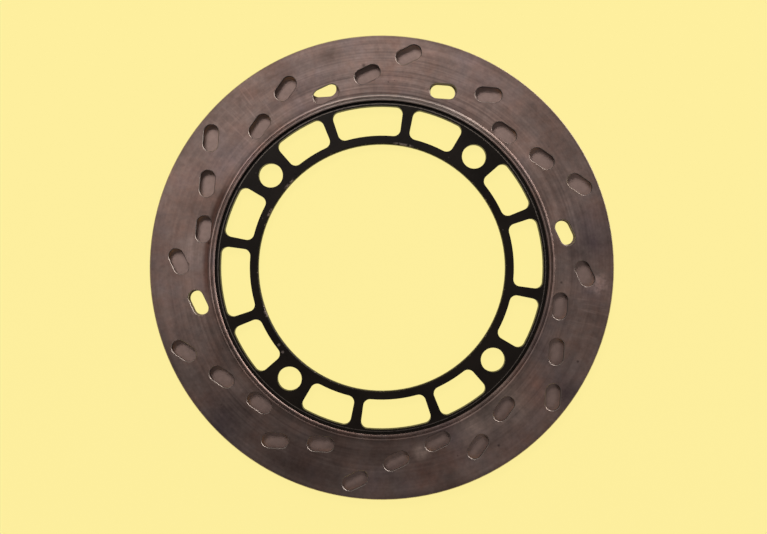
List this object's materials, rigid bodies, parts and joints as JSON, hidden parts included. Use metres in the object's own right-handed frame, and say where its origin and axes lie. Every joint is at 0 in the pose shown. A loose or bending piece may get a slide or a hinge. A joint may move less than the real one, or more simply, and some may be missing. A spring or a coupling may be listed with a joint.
{
  "type": "ventilated brake disc rotor",
  "caption": "Flat ventilated brake disc rotor for a motorcycle wheel: two slotted steel friction plates with vanes between them, on a black windowed carrier.",
  "frame": {"origin": "on the wheel axis, in the plane of the inboard plate's lip", "axes": "+Z along the wheel axis, pointing outboard; X and Y in the plane of the disc"},
  "size_m": [0.282, 0.282, 0.0075],
  "materials": {
    "friction_steel": "turned and worn by the pads, with fine rings, heat tint and slight browning",
    "carrier_paint": "satin black paint with small chips",
    "vane_steel": "dull pressed steel"
  },
  "bodies": {
    "root": {"outboard_friction_plate": "friction_steel", "inboard_friction_plate": "friction_steel", "carrier_plate": "carrier_paint", "outer_vane_01": "vane_steel", "outer_vane_02": "vane_steel", "outer_vane_03": "vane_steel", "outer_vane_04": "vane_steel", "outer_vane_05": "vane_steel", "outer_vane_06": "vane_steel", "outer_vane_07": "vane_steel", "outer_vane_08": "vane_steel", "outer_vane_09": "vane_steel", "outer_vane_10": "vane_steel", "outer_vane_11": "vane_steel", "outer_vane_12": "vane_steel", "outer_vane_13": "vane_steel", "outer_vane_14": "vane_steel", "outer_vane_15": "vane_steel", "outer_vane_16": "vane_steel", "outer_vane_17": "vane_steel", "outer_vane_18": "vane_steel", "outer_vane_19": "vane_steel", "outer_vane_20": "vane_steel", "outer_vane_21": "vane_steel", "outer_vane_22": "vane_steel", "outer_vane_23": "vane_steel", "outer_vane_24": "vane_steel", "outer_vane_25": "vane_steel", "outer_vane_26": "vane_steel", "outer_vane_27": "vane_steel", "outer_vane_28": "vane_steel", "outer_vane_29": "vane_steel", "outer_vane_30": "vane_steel", "inner_vane_01": "vane_steel", "inner_vane_02": "vane_steel", "inner_vane_03": "vane_steel", "inner_vane_04": "vane_steel", "inner_vane_05": "vane_steel", "inner_vane_06": "vane_steel", "inner_vane_07": "vane_steel", "inner_vane_08": "vane_steel", "inner_vane_09": "vane_steel", "inner_vane_10": "vane_steel", "inner_vane_11": "vane_steel", "inner_vane_12": "vane_steel"}
  },
  "joints": []
}
